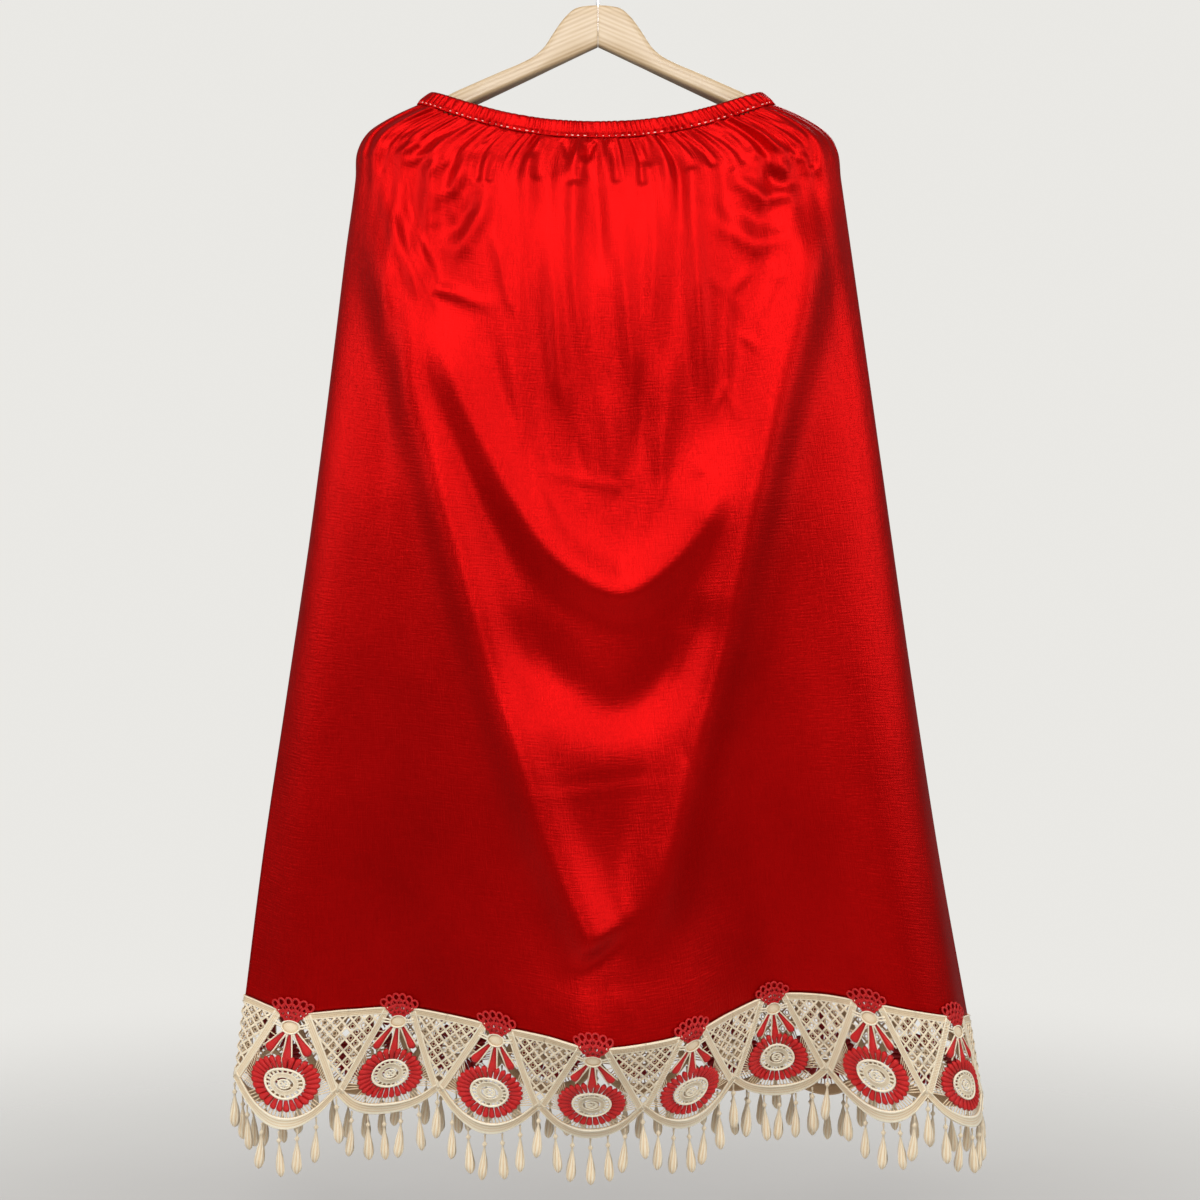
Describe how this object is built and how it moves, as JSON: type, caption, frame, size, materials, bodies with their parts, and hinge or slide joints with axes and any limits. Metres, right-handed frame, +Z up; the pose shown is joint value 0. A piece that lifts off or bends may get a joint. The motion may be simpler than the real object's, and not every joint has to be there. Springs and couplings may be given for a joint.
{
  "type": "flared skirt on a hanger",
  "caption": "Long flared red satin skirt with a gathered elastic waistband and a scalloped cream and red lace border with thread drops, hanging on a pale wooden clothes hanger.",
  "frame": {"origin": "the inside top of the hanger's hook, where it rests on a rod", "axes": "+X to the viewer's right when the front is seen, +Z up, -Y the front of the skirt"},
  "size_m": [0.7169, 0.2476, 1.169],
  "materials": {
    "satin": "smooth lustrous satin",
    "lace_thread": "cream embroidery thread with red rosettes",
    "wood": "pale, clear lacquered",
    "hook_steel": "bright wire"
  },
  "bodies": {
    "root": {"hanger_arm_left": "wood", "hanger_arm_right": "wood", "hanger_hook": "hook_steel", "waistband": "satin", "skirt_front": "satin", "skirt_back": "satin", "lace_front": "lace_thread", "lace_back": "lace_thread", "fringe_front": "lace_thread", "fringe_back": "lace_thread"}
  },
  "joints": []
}
